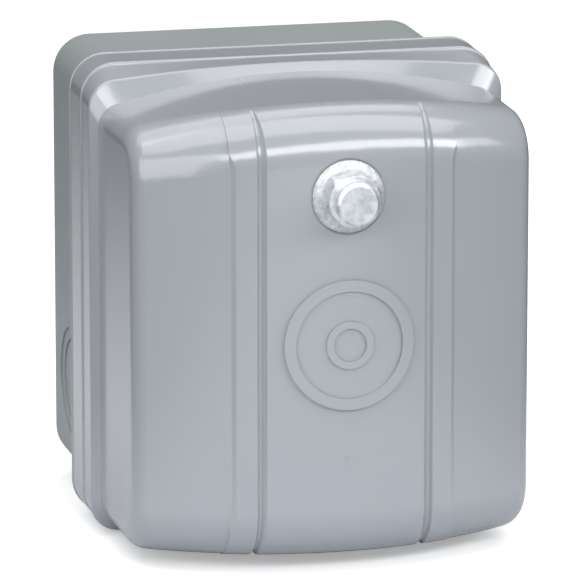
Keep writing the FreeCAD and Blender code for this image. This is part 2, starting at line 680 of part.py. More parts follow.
def overload_housing():
    w = UNIT_HALF_W
    body = box(-w, w, UNIT_BACK, OL_END, OL_Z0, OL_Z1)
    body = body.makeFillet(1.2, forward_edges(body))
    cuts = [box(-w + 2.2, w - 2.2, CORE_BACK, OL_END + 1, OL_CAVITY_Z0, OL_CAVITY_Z1)]
    for x in POWER_X:
        f = SHELF_F + STRIP_T
        cuts.append(box(x - 2.8, x + 2.8, f - 0.2, f + TIP_T + 0.2, OL_CAVITY_Z1 - 1, OL_Z1 + 1))
        cuts.append(box(x - 5.8, x + 5.8, OL_SHELF_F, OL_END + 1, OL_Z0 - 1, OL_COVER_Z0))
        slot = box(x - 2.6, x + 2.6, OL_SHELF_F, OL_SHELF_F + STRIP_T, OL_COVER_Z0 - 1, OL_CAVITY_Z0 + 1)
        cuts.append(slot)
        cuts.append(rod_f(x, OL_SCREW_Z, SCREW_R, 37, OL_SHELF_F + 1))
    for x in (-14.0, 14.0):
        cuts.append(rod_f(x, -45.3, 1.2, 50, OL_END + 1))
    cuts += [rod_f(x, z, UNIT_SCREW_R, 5, 11) for x, z in UNIT_SCREWS[2:]]
    cuts.append(rod_z(TRIP_PIVOT_X, TRIP_PIVOT_F, 1.5, OL_CAVITY_Z0 - 1, OL_CAVITY_Z1 + 1))
    shelf = box(15, w - 2.2, 44.5, 46, -35, OL_CAVITY_Z1)
    return join([body.cut(cuts), shelf])


def overload_cover():
    w = UNIT_HALF_W
    body = box(-w, w, OL_END, OL_END + OL_COVER_T, OL_COVER_Z0, OL_Z1)
    front = [e for e in body.Edges if abs(e.BoundBox.YMin + OL_END + OL_COVER_T) < 0.01]
    rim = [e for e in front if e.BoundBox.YLength < 0.01]
    body = body.makeFillet(0.8, rim)
    cuts = [rod_f(RESET_X, RESET_Z, 2.05, OL_END - 1, 70)]
    cuts.append(rod_f(TEST_X, TEST_Z, 1.55, OL_END - 1, 70))
    cuts.append(rod_f(DIAL_X, DIAL_Z, 2.55, OL_END - 1, 70))
    for x in (-14.0, 14.0):
        cuts.append(rod_f(x, -45.3, 1.2, OL_END - 1, 70))
    return body.cut(cuts)


def overload_cover_screws():
    front = OL_END + OL_COVER_T
    return group([screw(x, -45.3, 1.6, front, 1.2, 1.2, 51, 40) for x in (-14.0, 14.0)])


def heater_elements():
    parts = []
    for x in POWER_X:
        inlet = box(x - 2.6, x + 2.6, 16, SHELF_F + STRIP_T, -33, -31.8)
        web = box(x - 2.6, x + 2.6, 16, 17.2, -43, -31.8)
        outlet = box(x - 2.6, x + 2.6, 16, OL_SHELF_F, -43, -41.8)
        parts.append(join([inlet, web, outlet]))
    return group(parts)


def bimetal_strips():
    return group([box(x - 0.5, x + 0.5, 17.2, 42, BIMETAL_Z - 3, BIMETAL_Z + 3) for x in POWER_X])


def load_terminals():
    parts = []
    for x in POWER_X:
        bar = box(x - 2.6, x + 2.6, OL_SHELF_F, OL_SHELF_F + STRIP_T, OL_Z0 + 0.4, -41.8)
        parts.append(bar.cut(rod_f(x, OL_SCREW_Z, SCREW_R, 40, 55)))
    return group(parts)


def load_terminal_screws():
    seat = OL_SHELF_F + STRIP_T + 1.3
    return group([screw(x, OL_SCREW_Z, 2.6, seat, 2.2, SCREW_R, 38, 31 * i) for i, x in enumerate(POWER_X)])


def trip_bar():
    parts = [box(-25, 12.8, 43, 45, BIMETAL_Z - 3, BIMETAL_Z + 3)]
    parts.append(box(12, 15.8, 44.2, 45, -39, -35.5))
    for x in POWER_X:
        parts.append(box(x + 1.1, x + 2.3, 38, 43.5, BIMETAL_Z - 2, BIMETAL_Z + 2))
    return join(parts)


def trip_pivot_pin():
    return rod_z(TRIP_PIVOT_X, TRIP_PIVOT_F, 1.5, OL_CAVITY_Z0 - 1, OL_CAVITY_Z1 + 1)


def trip_lever():
    hub = rod_z(TRIP_PIVOT_X, TRIP_PIVOT_F, 3.2, -39, -35.5)
    upright = box(TRIP_PIVOT_X - 1, TRIP_PIVOT_X + 1, TRIP_PIVOT_F, 47, -39, -35.5)
    arm = box(TRIP_PIVOT_X, 26, TRIP_PIVOT_F - 1, TRIP_PIVOT_F, -39, -35.5)
    return join([hub, upright, arm]).cut(rod_z(TRIP_PIVOT_X, TRIP_PIVOT_F, 1.55, -45, -25))


def trip_blade():
    strip = box(21, 26, TRIP_PIVOT_F, TRIP_PIVOT_F + 0.8, -38.6, -35.9)
    tip = rod_f(24, -37.2, 1.1, TRIP_PIVOT_F + 0.8, TRIP_PIVOT_F + 1.8)
    return join([strip, tip])


def trip_fixed_contact():
    strip = box(22, UNIT_HALF_W - 2.2, 42.6, 43.4, -38.6, -35.9)
    tip = rod_f(24, -37.2, 1.1, TRIP_PIVOT_F + 1.85, 42.7)
    return join([strip, tip])


def reset_button():
    stem = rod_f(RESET_X, RESET_Z, 2.0, 49, 66)
    collar = rod_f(RESET_X, RESET_Z, 3.0, 56, 57.4)
    cap = rod_f(RESET_X, RESET_Z, 4.4, 65.8, 70)
    rim = [e for e in cap.Edges if abs(e.BoundBox.YMin + 70) < 0.01 and e.BoundBox.YLength < 0.01]
    return join([stem, collar, cap.makeFillet(0.8, rim)])


def reset_spring():
    return rod_f(RESET_X, RESET_Z, 2.8, 46, 56).cut(rod_f(RESET_X, RESET_Z, 2.25, 45, 57))


def test_button():
    stem = rod_f(TEST_X, TEST_Z, 1.5, 54, 65)
    collar = rod_f(TEST_X, TEST_Z, 2.3, 56, 57.2)
    cap = rod_f(TEST_X, TEST_Z, 2.7, 64.8, 67)
    return join([stem, collar, cap])


def current_dial():
    stem = rod_f(DIAL_X, DIAL_Z, 2.5, 52, 63.5)
    cam = rod_f(DIAL_X + 0.8, DIAL_Z, 3.6, 52, 54.5)
    knob = rod_f(DIAL_X, DIAL_Z, 6.2, 63.2, 65.6)
    rim = [e for e in knob.Edges if abs(e.BoundBox.YMin + 65.6) < 0.01 and e.BoundBox.YLength < 0.01]
    knob = knob.makeFillet(0.5, rim)
    slot = box(DIAL_X - 0.6, DIAL_X + 0.6, 64.4, 66, DIAL_Z - 4.5, DIAL_Z + 4.5)
    return join([stem, cam, knob]).cut(slot)


def build_all():
    plug = knockout_plug()
    return {
        "base_housing": base_housing(),
        "knockout_plug_right": plug,
        "knockout_plug_left": mirror_x(plug),
        "mounting_plate": mounting_plate(),
        "plate_screws": plate_screws(),
        "unit_screws": unit_screws(),
        "ground_screw": ground_screw(),
        "cover_stud": cover_stud(),
        "stud_locknut": stud_locknut(),
        "cover_shell": cover_shell(),
        "badge_plaque": badge_plaque(),
        "cover_gasket": cover_gasket(),
        "nut_washer": nut_washer(),
        "cover_nut": cover_nut(),
        "contactor_lower_housing": contactor_lower_housing(),
        "contactor_upper_housing": contactor_upper_housing(),
        "contactor_arc_cover": contactor_arc_cover(),
        "arc_cover_screws": arc_cover_screws(),
        "magnet_core": magnet_core(),
        "shading_rings": shading_rings(),
        "coil_bobbin": coil_bobbin(),
        "coil_winding": coil_winding(),
        "coil_terminals": coil_terminals(),
        "return_springs": return_springs(),
        "armature": armature(),
        "contact_carrier": contact_carrier(),
        "moving_bridges": moving_bridges(),
        "moving_tips": moving_tips(),
        "contact_springs": contact_springs(),
        "line_strips": line_strips(),
        "load_strips": load_strips(),
        "fixed_tips": fixed_tips(),
        "bus_links": bus_links(),
        "terminal_clamps": terminal_clamps(),
        "terminal_screws": terminal_screws(),
        "overload_housing": overload_housing(),
        "overload_cover": overload_cover(),
        "overload_cover_screws": overload_cover_screws(),
        "heater_elements": heater_elements(),
        "bimetal_strips": bimetal_strips(),
        "load_terminals": load_terminals(),
        "load_terminal_screws": load_terminal_screws(),
        "trip_bar": trip_bar(),
        "trip_pivot_pin": trip_pivot_pin(),
        "trip_lever": trip_lever(),
        "trip_blade": trip_blade(),
        "trip_fixed_contact": trip_fixed_contact(),
        "reset_button": reset_button(),
        "reset_spring": reset_spring(),
        "test_button": test_button(),
        "current_dial": current_dial(),
    }


os.makedirs("parts", exist_ok=True)
for name, shape in build_all().items():
    shape.exportStep("parts/" + name + ".step")
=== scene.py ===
import json
import math

import bpy
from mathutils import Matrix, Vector


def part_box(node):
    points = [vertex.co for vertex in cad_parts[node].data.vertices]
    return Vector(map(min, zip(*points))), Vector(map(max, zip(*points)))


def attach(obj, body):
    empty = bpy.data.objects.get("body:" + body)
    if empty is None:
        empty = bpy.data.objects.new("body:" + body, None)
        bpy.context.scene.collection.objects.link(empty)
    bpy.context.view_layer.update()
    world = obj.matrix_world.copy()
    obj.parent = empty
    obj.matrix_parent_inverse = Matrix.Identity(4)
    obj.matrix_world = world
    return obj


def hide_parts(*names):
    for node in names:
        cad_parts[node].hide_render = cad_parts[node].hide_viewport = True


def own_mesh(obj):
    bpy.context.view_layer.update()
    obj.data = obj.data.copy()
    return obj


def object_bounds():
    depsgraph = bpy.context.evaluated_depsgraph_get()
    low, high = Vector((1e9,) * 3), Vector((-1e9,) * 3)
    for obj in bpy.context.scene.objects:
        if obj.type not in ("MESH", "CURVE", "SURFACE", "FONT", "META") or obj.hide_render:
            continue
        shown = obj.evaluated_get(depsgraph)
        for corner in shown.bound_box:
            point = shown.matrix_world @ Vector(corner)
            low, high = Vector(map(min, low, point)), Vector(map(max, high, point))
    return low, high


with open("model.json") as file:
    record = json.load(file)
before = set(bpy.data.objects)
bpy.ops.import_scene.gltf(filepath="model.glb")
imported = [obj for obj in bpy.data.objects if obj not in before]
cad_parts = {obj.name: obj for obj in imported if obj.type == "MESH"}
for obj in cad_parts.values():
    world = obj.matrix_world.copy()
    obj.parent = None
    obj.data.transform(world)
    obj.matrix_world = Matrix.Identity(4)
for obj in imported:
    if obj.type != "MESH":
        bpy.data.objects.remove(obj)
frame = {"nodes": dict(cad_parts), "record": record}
cad_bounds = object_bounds()
NODES = frame["nodes"]
RECORD = frame["record"]
MM = 0.001
NODE_SLOT = {s["node"]: s["material_slot"] for s in RECORD["subparts"]}
JOINT = {j["name"]: j for j in RECORD["behaviour"]["joints"]}


# ------------------------------------------------------------------ materials
# Noise scales are roughly cycles per metre. Bump distances and edge radii are in metres.

# Sockets of a Mix node that is set to mix colours.
MIX_FACTOR, MIX_A, MIX_B, MIX_RESULT = 0, 6, 7, 2


def new_material(name):
    mat = bpy.data.materials.new(name)
    mat.use_nodes = True
    nt = mat.node_tree
    bsdf = nt.nodes["Principled BSDF"]
    return mat, nt, bsdf


def object_coords(nt, scale=(1.0, 1.0, 1.0)):
    coords = nt.nodes.new("ShaderNodeTexCoord")
    mapping = nt.nodes.new("ShaderNodeMapping")
    mapping.inputs["Scale"].default_value = scale
    nt.links.new(coords.outputs["Object"], mapping.inputs["Vector"])
    return mapping.outputs["Vector"]


def noise(nt, vector, scale, detail=4.0, roughness=0.55):
    node = nt.nodes.new("ShaderNodeTexNoise")
    node.inputs["Scale"].default_value = scale
    node.inputs["Detail"].default_value = detail
    node.inputs["Roughness"].default_value = roughness
    nt.links.new(vector, node.inputs["Vector"])
    return node.outputs["Fac"]


def spread(nt, value, low, high, from_low=0.3, from_high=0.7):
    """Stretch the range from_low to from_high onto low to high, and hold it there outside."""
    node = nt.nodes.new("ShaderNodeMapRange")
    node.inputs["From Min"].default_value = from_low
    node.inputs["From Max"].default_value = from_high
    node.inputs["To Min"].default_value = low
    node.inputs["To Max"].default_value = high
    nt.links.new(value, node.inputs["Value"])
    return node.outputs["Result"]


def calculate(nt, kind, operation, *values):
    """Outputs of a Math or VectorMath node. Each value is a number, a vector or a node's output."""
    node = nt.nodes.new(kind)
    node.operation = operation
    for socket, value in zip(node.inputs, values):
        if isinstance(value, bpy.types.NodeSocket):
            nt.links.new(value, socket)
        else:
            socket.default_value = value
    return node.outputs


def mix_colour(nt, fac, a, b):
    """Colour a where fac is 0 and b where it is 1. Each is a colour or a node's output."""
    node = nt.nodes.new("ShaderNodeMix")
    node.data_type = "RGBA"
    for key, value in ((MIX_A, a), (MIX_B, b)):
        if isinstance(value, tuple):
            node.inputs[key].default_value = (*value, 1.0)
        else:
            nt.links.new(value, node.inputs[key])
    nt.links.new(fac, node.inputs[MIX_FACTOR])
    return node.outputs[MIX_RESULT]


def bump(nt, bsdf, height, strength, distance, previous=None):
    """Raise the surface by height, on top of a previous bump if there is one."""
    node = nt.nodes.new("ShaderNodeBump")
    node.inputs["Strength"].default_value = strength
    node.inputs["Distance"].default_value = distance
    nt.links.new(height, node.inputs["Height"])
    if previous is not None:
        nt.links.new(previous, node.inputs["Normal"])
    nt.links.new(node.outputs["Normal"], bsdf.inputs["Normal"])
    return node.outputs["Normal"]


def edge_mask(nt, radius):
    """About 1 on edges, 0 on flats: how far the rounded normal leans from the true one."""
    bevel = nt.nodes.new("ShaderNodeBevel")
    bevel.samples = 4
    bevel.inputs["Radius"].default_value = radius
    true_normal = nt.nodes.new("ShaderNodeNewGeometry").outputs["Normal"]
    lean = calculate(nt, "ShaderNodeVectorMath", "DOT_PRODUCT", bevel.outputs["Normal"], true_normal)
    return spread(nt, lean["Value"], 1.0, 0.0, from_low=0.86, from_high=0.99)


def shade(colour, k):
    return tuple(min(1.0, max(0.0, v * k)) for v in colour)


def plastic(name, colour, rough, grain, grain_strength, mottle, coat=0.0, worn=0.0, vary=0.05):
    """Moulded plastic: faint mottling, fine grain, slow waviness. worn makes edges paler in patches."""
    mat, nt, bsdf = new_material(name)
    v = object_coords(nt)
    slow = noise(nt, v, scale=28.0, detail=3.0)
    fine = noise(nt, v, scale=grain, detail=2.0)
    dark, pale = shade(colour, 1 - mottle), shade(colour, 1 + mottle)
    base = mix_colour(nt, spread(nt, slow, 0.0, 1.0), dark, pale)
    if worn > 0:
        patches = noise(nt, v, scale=140.0, detail=5.0)
        patches = spread(nt, patches, 0.0, worn, from_low=0.35, from_high=0.65)
        rub = calculate(nt, "ShaderNodeMath", "MULTIPLY", edge_mask(nt, radius=0.0006), patches)
        base = mix_colour(nt, rub["Value"], base, shade(colour, 1.35))
    nt.links.new(base, bsdf.inputs["Base Color"])
    uneven = noise(nt, v, scale=60.0, detail=5.0)
    nt.links.new(spread(nt, uneven, rough - vary, rough + vary), bsdf.inputs["Roughness"])
    bsdf.inputs["Coat Weight"].default_value = coat
    bsdf.inputs["Coat Roughness"].default_value = 0.12
    first = bump(nt, bsdf, fine, strength=grain_strength, distance=0.00008)
    bump(nt, bsdf, slow, strength=0.06, distance=0.0004, previous=first)
    return mat


def metal(name, colour, stain, rough, streak, scratch, tarnish, edge=0.0, metallic=1.0, grain=130.0):
    """Bare or plated metal: fine streaks that vary the sheen, and a bloom of the stain colour in places.

    The streaks run across the axis that has the large number in streak. edge makes the edges paler.
    """
    mat, nt, bsdf = new_material(name)
    line = noise(nt, object_coords(nt, streak), scale=420.0, detail=6.0, roughness=0.7)
    cloud = noise(nt, object_coords(nt), scale=grain, detail=5.0)
    base = mix_colour(nt, spread(nt, cloud, 0.0, tarnish, from_low=0.4, from_high=0.75), colour, stain)
    if edge > 0:
        rub = spread(nt, edge_mask(nt, radius=0.0004), 0.0, edge, from_low=0.0, from_high=1.0)
        base = mix_colour(nt, rub, base, shade(colour, 1.3))
    nt.links.new(base, bsdf.inputs["Base Color"])
    bsdf.inputs["Metallic"].default_value = metallic
    nt.links.new(spread(nt, line, rough - 0.08, rough + 0.14), bsdf.inputs["Roughness"])
    first = bump(nt, bsdf, line, strength=scratch, distance=0.00005)
    bump(nt, bsdf, cloud, strength=0.10, distance=0.0002, previous=first)
    return mat


def turned_face(name, centre, pale, dark):
    """Zinc plate over lathe rings about an axis along Y: uneven dull rings and a frosty, blotchy sheen."""
    mat, nt, bsdf = new_material(name)
    v = object_coords(nt)
    offset = calculate(nt, "ShaderNodeVectorMath", "SUBTRACT", v, centre)["Vector"]
    flat = calculate(nt, "ShaderNodeVectorMath", "MULTIPLY", offset, (1.0, 0.0, 1.0))["Vector"]
    radius = calculate(nt, "ShaderNodeVectorMath", "LENGTH", flat)["Value"]
    rings = nt.nodes.new("ShaderNodeTexNoise")
    rings.noise_dimensions = "1D"
    rings.inputs["Scale"].default_value = 2600.0
    rings.inputs["Detail"].default_value = 3.0
    nt.links.new(radius, rings.inputs["W"])
    ring = rings.outputs["Fac"]
    frost = noise(nt, v, scale=900.0, detail=5.0)
    mixed = calculate(nt, "ShaderNodeMath", "MULTIPLY_ADD", ring, 0.6, spread(nt, frost, 0.0, 0.4))
    tone = spread(nt, mixed["Value"], 0.0, 1.0, from_low=0.3, from_high=0.75)
    nt.links.new(mix_colour(nt, tone, dark, pale), bsdf.inputs["Base Color"])
    bsdf.inputs["Metallic"].default_value = 0.85
    nt.links.new(spread(nt, tone, 0.62, 0.46, from_low=0.0, from_high=1.0), bsdf.inputs["Roughness"])
    first = bump(nt, bsdf, ring, strength=0.45, distance=0.00008)
    bump(nt, bsdf, frost, strength=0.15, distance=0.0001, previous=first)
    return mat


def laminated(name):
    """Stacked thin steel sheets: fine dark seams across the stack, and rust in patches."""
    mat, nt, bsdf = new_material(name)
    v = object_coords(nt)
    wave = nt.nodes.new("ShaderNodeTexWave")
    wave.wave_type = "BANDS"
    wave.bands_direction = "Z"
    wave.inputs["Scale"].default_value = 320.0
    wave.inputs["Distortion"].default_value = 0.35
    wave.inputs["Detail"].default_value = 2.0
    wave.inputs["Detail Scale"].default_value = 60.0
    nt.links.new(v, wave.inputs["Vector"])
    seam = spread(nt, wave.outputs["Fac"], 0.0, 1.0, from_low=0.05, from_high=0.45)
    sheet = mix_colour(nt, seam, (0.06, 0.055, 0.05), (0.34, 0.35, 0.36))
    patches = noise(nt, v, scale=160.0, detail=6.0)
    rust = spread(nt, patches, 0.0, 0.45, from_low=0.55, from_high=0.8)
    nt.links.new(mix_colour(nt, rust, sheet, (0.22, 0.12, 0.07)), bsdf.inputs["Base Color"])
    bsdf.inputs["Metallic"].default_value = 0.9
    nt.links.new(spread(nt, noise(nt, v, scale=300.0), 0.35, 0.55), bsdf.inputs["Roughness"])
    bump(nt, bsdf, wave.outputs["Fac"], strength=0.5, distance=0.0001)
    return mat


def rubber(name):
    """Dull black rubber: a fine cellular skin with dust in patches."""
    mat, nt, bsdf = new_material(name)
    v = object_coords(nt)
    cells = nt.nodes.new("ShaderNodeTexVoronoi")
    cells.inputs["Scale"].default_value = 1500.0
    nt.links.new(v, cells.inputs["Vector"])
    dust = spread(nt, noise(nt, v, scale=90.0, detail=5.0), 0.0, 0.5, from_low=0.5, from_high=0.8)
    nt.links.new(mix_colour(nt, dust, (0.018, 0.018, 0.018), (0.07, 0.07, 0.065)), bsdf.inputs["Base Color"])
    nt.links.new(spread(nt, noise(nt, v, scale=70.0), 0.72, 0.9), bsdf.inputs["Roughness"])
    bump(nt, bsdf, cells.outputs["Distance"], strength=0.35, distance=0.00015)
    return mat


def enamel_wire(name):
    """Varnished winding wire: deep copper red with lighter runs where the varnish pooled thin."""
    mat, nt, bsdf = new_material(name)
    run = noise(nt, object_coords(nt, (1.0, 8.0, 1.0)), scale=90.0)
    base = mix_colour(nt, spread(nt, run, 0.0, 1.0), (0.24, 0.06, 0.02), (0.52, 0.19, 0.07))
    nt.links.new(base, bsdf.inputs["Base Color"])
    bsdf.inputs["Metallic"].default_value = 0.65
    uneven = noise(nt, object_coords(nt), scale=200.0)
    nt.links.new(spread(nt, uneven, 0.22, 0.4), bsdf.inputs["Roughness"])
    bsdf.inputs["Coat Weight"].default_value = 0.6
    bump(nt, bsdf, run, strength=0.2, distance=0.0001)
    return mat


# The outside mouldings share one grain. Their colours and sheen were tuned against the photo.
SHELL_GRAIN = dict(grain=700.0, grain_strength=0.07, mottle=0.03)
BUTTON = dict(rough=0.25, grain=900.0, grain_strength=0.06, mottle=0.08, coat=0.3, worn=0.15)
WIRE_COVER = dict(grain=1300.0, grain_strength=0.10)

PLASTICS = {
    "base_plastic": dict(colour=(0.272, 0.300, 0.300), rough=0.40, worn=0.12, **SHELL_GRAIN),
    "cover_plastic": dict(colour=(0.316, 0.334, 0.360), rough=0.24, grain=700.0, grain_strength=0.012,
                          mottle=0.008, coat=1.0, vary=0.008),
    "knockout_plastic": dict(colour=(0.278, 0.306, 0.306), rough=0.40, worn=0.2, **SHELL_GRAIN),
    "black_phenolic": dict(colour=(0.016, 0.016, 0.018), rough=0.38, grain=1100.0, grain_strength=0.22,
                           mottle=0.25, worn=0.5),
    "brown_phenolic": dict(colour=(0.105, 0.042, 0.022), rough=0.36, grain=1000.0, grain_strength=0.20,
                           mottle=0.18, worn=0.4),
    "cream_nylon": dict(colour=(0.66, 0.59, 0.43), rough=0.45, grain=800.0, grain_strength=0.14,
                        mottle=0.05, worn=0.1),
    "dial_white": dict(colour=(0.72, 0.71, 0.67), rough=0.35, grain=900.0, grain_strength=0.08,
                       mottle=0.04, worn=0.05),
    "reset_blue": dict(colour=(0.012, 0.055, 0.30), **BUTTON),
    "test_red": dict(colour=(0.42, 0.015, 0.012), **BUTTON),
    "wire_red": dict(colour=(0.45, 0.03, 0.02), rough=0.35, mottle=0.08, **WIRE_COVER),
    "wire_black": dict(colour=(0.02, 0.02, 0.022), rough=0.38, mottle=0.15, **WIRE_COVER),
    "wire_blue": dict(colour=(0.02, 0.07, 0.33), rough=0.36, mottle=0.08, **WIRE_COVER),
}

METALS = {
    "zinc_steel": dict(colour=(0.86, 0.88, 0.91), stain=(0.40, 0.42, 0.44), rough=0.40,
                       streak=(1.0, 1.0, 5.0), scratch=0.16, tarnish=0.75, edge=0.4, metallic=0.92,
                       grain=420.0),
    "plate_steel": dict(colour=(0.62, 0.63, 0.61), stain=(0.42, 0.42, 0.38), rough=0.36,
                        streak=(16.0, 1.0, 1.0), scratch=0.22, tarnish=0.5),
    "ground_green": dict(colour=(0.05, 0.30, 0.11), stain=(0.02, 0.14, 0.05), rough=0.30,
                         streak=(1.0, 1.0, 10.0), scratch=0.25, tarnish=0.6, edge=0.6),
    "copper": dict(colour=(0.80, 0.40, 0.24), stain=(0.36, 0.16, 0.09), rough=0.30,
                   streak=(12.0, 1.0, 1.0), scratch=0.25, tarnish=0.55, edge=0.4),
    "silver": dict(colour=(0.78, 0.78, 0.76), stain=(0.36, 0.34, 0.32), rough=0.38,
                   streak=(1.0, 1.0, 1.0), scratch=0.35, tarnish=0.7),
    "brass": dict(colour=(0.76, 0.56, 0.24), stain=(0.40, 0.27, 0.10), rough=0.28,
                  streak=(1.0, 1.0, 14.0), scratch=0.25, tarnish=0.5, edge=0.4),
    "spring_steel": dict(colour=(0.60, 0.60, 0.61), stain=(0.3, 0.29, 0.27), rough=0.25,
                         streak=(1.0, 10.0, 1.0), scratch=0.2, tarnish=0.4),
    "heater_alloy": dict(colour=(0.55, 0.49, 0.40), stain=(0.30, 0.20, 0.22), rough=0.35,
                         streak=(1.0, 12.0, 1.0), scratch=0.25, tarnish=0.8),
    "bimetal": dict(colour=(0.60, 0.56, 0.48), stain=(0.38, 0.33, 0.38), rough=0.32,
                    streak=(1.0, 12.0, 1.0), scratch=0.25, tarnish=0.6),
}

MATERIALS = {slot: plastic(slot, **look) for slot, look in PLASTICS.items()}
MATERIALS.update({slot: metal(slot, **look) for slot, look in METALS.items()})
MATERIALS["gasket_rubber"] = rubber("gasket_rubber")
MATERIALS["lamination_steel"] = laminated("lamination_steel")
MATERIALS["enamel_copper"] = enamel_wire("enamel_copper")

# In millimetres: the usual rounding of a sharp edge, the nodes that differ from it, and the weld.
USUAL_ROUND = 0.18
EDGE_ROUND = {
    "base_housing": 0.35, "cover_gasket": 0.2, "knockout_plug_left": 0.22, "knockout_plug_right": 0.22,
    "coil_winding": 0.0, "cover_nut": 0.25, "overload_cover": 0.2,
}
WELD_WITHIN = 0.004
OWN_EDGES = ("cover_shell", "badge_plaque")
FLAT_WITHIN = math.radians(0.6)
SHARP_ABOVE = math.radians(38)


def finish_cad_node(name, obj):
    """Procedural material, welded vertices, clean flats, and a small rounding on each sharp edge.

    The cover and its badge keep the mesh of the CAD as it is.
    """
    obj.data.materials.clear()
    obj.data.materials.append(MATERIALS[NODE_SLOT[name]])
    if name in OWN_EDGES:
        return
    weld = obj.modifiers.new("weld", "WELD")
    weld.merge_threshold = WELD_WITHIN * MM
    width = EDGE_ROUND.get(name, USUAL_ROUND)
    if width > 0:
        flat = obj.modifiers.new("flats", "DECIMATE")
        flat.decimate_type = "DISSOLVE"
        flat.angle_limit = FLAT_WITHIN
        soft = obj.modifiers.new("edges", "BEVEL")
        soft.width = width * MM
        soft.segments = 2
        soft.limit_method = "ANGLE"
        soft.angle_limit = SHARP_ABOVE
        soft.use_clamp_overlap = True
        soft.harden_normals = False
    for poly in obj.data.polygons:
        poly.use_smooth = True
    normals = obj.modifiers.new("normals", "WEIGHTED_NORMAL")
    normals.keep_sharp = True
    normals.weight = 60


for name, obj in NODES.items():
    finish_cad_node(name, obj)


# ------------------------------------------------------------------ mesh tools
# Mesh points are given as x to the right, f forward from the wall and z up, in millimetres.


def point(x, f, z):
    return Vector((x * MM, -f * MM, z * MM))


def piece(name, verts, faces, slot, body, replaces=(), smooth=40.0, finish=None):
    """A mesh that rides on a body, in the slot's material unless a finish is given."""
    mesh = bpy.data.meshes.new(name)
    mesh.from_pydata([tuple(v) for v in verts], [], faces)
    mesh.validate()
    mesh.update()
    obj = bpy.data.objects.new(name, mesh)
    bpy.context.scene.collection.objects.link(obj)
    mesh.materials.append(finish or MATERIALS[slot])
    for poly in mesh.polygons:
        poly.use_smooth = True
    mesh.set_sharp_from_angle(angle=math.radians(smooth))
    if replaces:
        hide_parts(*replaces)
    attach(obj, body)
    return obj


def merge(parts):
    """One mesh out of several (verts, faces) pairs."""
    verts, faces = [], []
    for v, f in parts:
        start = len(verts)
        verts += v
        faces += [tuple(i + start for i in face) for face in f]
    return verts, faces


def skin(rows, closed_rows=True, wrap=False, cap=True):
    """Quads between rows of points. cap closes the ends; wrap joins the last row to the first."""
    verts = [p for row in rows for p in row]
    n = len(rows[0])
    faces = []
    count = len(rows)
    for i in range(count if wrap else count - 1):
        a, b = i * n, ((i + 1) % count) * n
        for j in range(n if closed_rows else n - 1):
            k = (j + 1) % n
            faces.append((a + j, a + k, b + k, b + j))
    if cap and not wrap:
        faces.append(tuple(reversed(range(n))))
        faces.append(tuple((count - 1) * n + j for j in range(n)))
    return verts, faces


def tube(path, radius, sides=10):
    """Round bar swept along a list of points, with carried frames so that it does not twist."""
    rows = []
    side = None
    for i, p in enumerate(path):
        ahead = path[min(i + 1, len(path) - 1)] - path[max(i - 1, 0)]
        ahead.normalize()
        if side is None:
            side = ahead.orthogonal().normalized()
        side = (side - ahead * side.dot(ahead)).normalized()
        other = ahead.cross(side)
        row = []
        for j in range(sides):
            a = 2 * math.pi * j / sides
            row.append(p + (side * math.cos(a) + other * math.sin(a)) * radius)
        rows.append(row)
    return skin(rows)


def smooth_path(points, steps=10):
    """Catmull-Rom curve through the points."""
    pts = [points[0] * 2 - points[1]] + list(points) + [points[-1] * 2 - points[-2]]
    out = []
    for i in range(1, len(pts) - 2):
        a, b, c, d = pts[i - 1:i + 3]
        for s in range(steps):
            t = s / steps
            out.append(0.5 * (2 * b + (c - a) * t + (2 * a - 5 * b + 4 * c - d) * t * t
                              + (3 * b - a - 3 * c + d) * t ** 3))
    out.append(points[-1])
    return out


def spring(x, z, coil_r, wire_r, f0, f1, turns, steps=22):
    """Compression spring along the depth, with nearly one closed turn at each end."""
    path = []
    total = turns * steps
    closed = 0.9
    closed_pitch = 2 * wire_r * 0.98
    f0, f1 = f0 + wire_r, f1 - wire_r
    open_length = f1 - f0 - closed_pitch * 2 * closed
    for i in range(total + 1):
        t = i / steps
        along = min(max((t - closed) / (turns - 2 * closed), 0.0), 1.0)
        lie = closed_pitch * (min(t, closed) + max(0.0, t - turns + closed))
        f = f0 + lie + along * open_length
        a = 2 * math.pi * t
        path.append(point(x + coil_r * math.cos(a), f, z + coil_r * math.sin(a)))
    return tube(path, wire_r * MM, 8)


def rounded_loop(half_w, half_h, r, cx, cz, f, per_corner=7):
    """Rectangle with corners of radius r about (cx, cz), at depth f."""
    out = []
    for sx, sz, start in ((1, 1, 0), (-1, 1, 90), (-1, -1, 180), (1, -1, 270)):
        for i in range(per_corner):
            a = math.radians(start + 90.0 * i / (per_corner - 1))
            x = cx + sx * (half_w - r) + r * math.cos(a)
            z = cz + sz * (half_h - r) + r * math.sin(a)
            out.append(point(x, f, z))
    return out


def revolve(profile, cx, cz, steps, ripple=None):
    """Closed ring about a forward axis. profile is a closed list of (radius, depth)."""
    rows = []
    for i in range(steps):
        a = 2 * math.pi * i / steps
        row = []
        for r, f in profile:
            lift = ripple(r, f, a) if ripple else 0.0
            row.append(point(cx + r * math.cos(a), f + lift, cz + r * math.sin(a)))
        rows.append(row)
    return skin(rows, closed_rows=True, wrap=True)


def node_mm(name):
    """(x0, x1, f0, f1, z0, z1) of a CAD node in millimetres."""
    lo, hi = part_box(name)
    return lo.x / MM, hi.x / MM, -hi.y / MM, -lo.y / MM, lo.z / MM, hi.z / MM


# ------------------------------------------------------------------ springs


x0, x1, f0, f1, z0, z1 = node_mm("return_springs")
radius = (z1 - z0) / 2
mid_z = (z0 + z1) / 2
coils = [spring(s * (x1 - radius), mid_z, radius - 0.35, 0.33, f0, f1, turns=6) for s in (-1, 1)]
verts, faces = merge(coils)
returns = piece("return_spring_coils", verts, faces, "spring_steel", "enclosure_base", ["return_springs"], 80)
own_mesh(returns)

